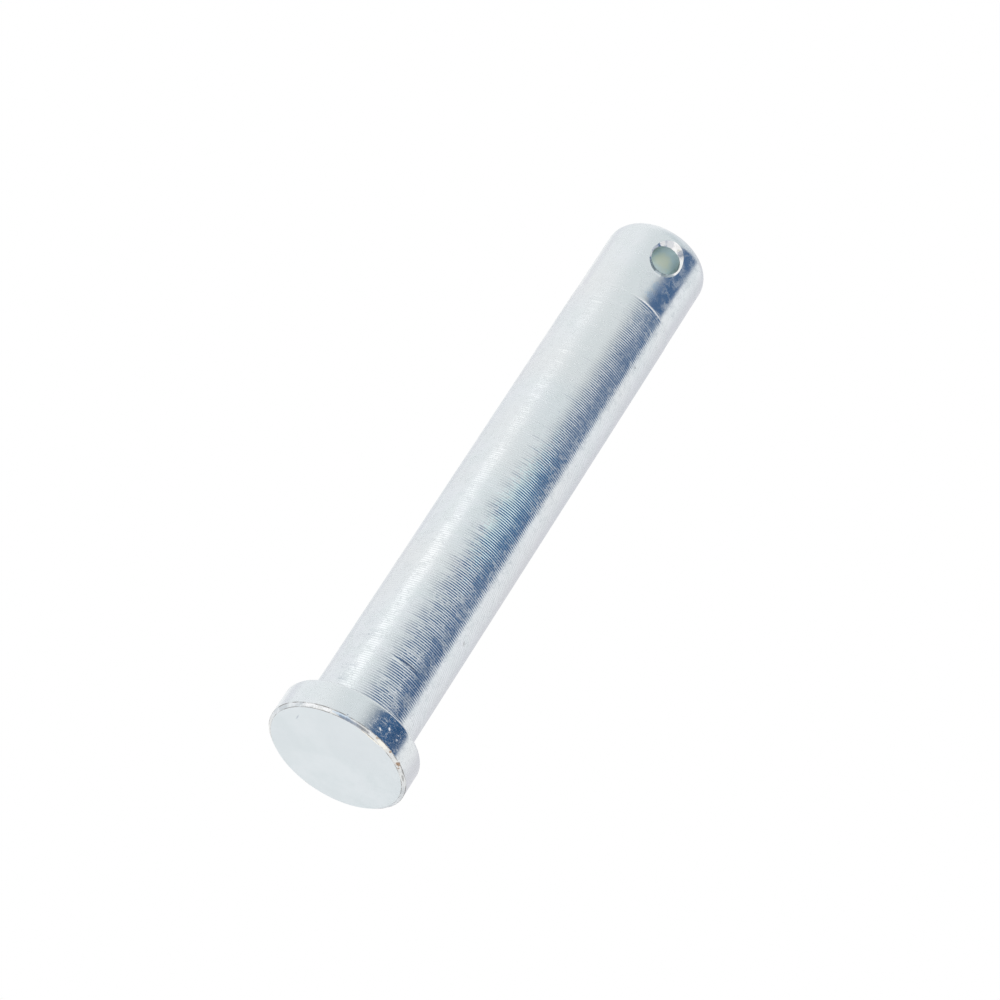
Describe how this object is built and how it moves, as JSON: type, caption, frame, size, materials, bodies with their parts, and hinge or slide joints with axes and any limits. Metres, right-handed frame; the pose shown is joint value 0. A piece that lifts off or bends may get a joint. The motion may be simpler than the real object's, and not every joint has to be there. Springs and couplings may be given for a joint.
{
  "type": "clevis pin",
  "caption": "Headed steel clevis pin with a round shank, a cross hole for a cotter near its rounded point, and a flat head that seats against the clevis.",
  "frame": {"origin": "centre of the flat end face of the head, which the pin stands on", "axes": "+Z along the shank from the head to the point, +Y along the cotter hole, +X across both"},
  "size_m": [0.0128, 0.0128, 0.0613],
  "materials": {
    "zinc_plated_steel": "bright zinc plate with a clear blue passivation over fine turned rings"
  },
  "bodies": {
    "root": {"clevis_pin": "zinc_plated_steel"}
  },
  "joints": []
}
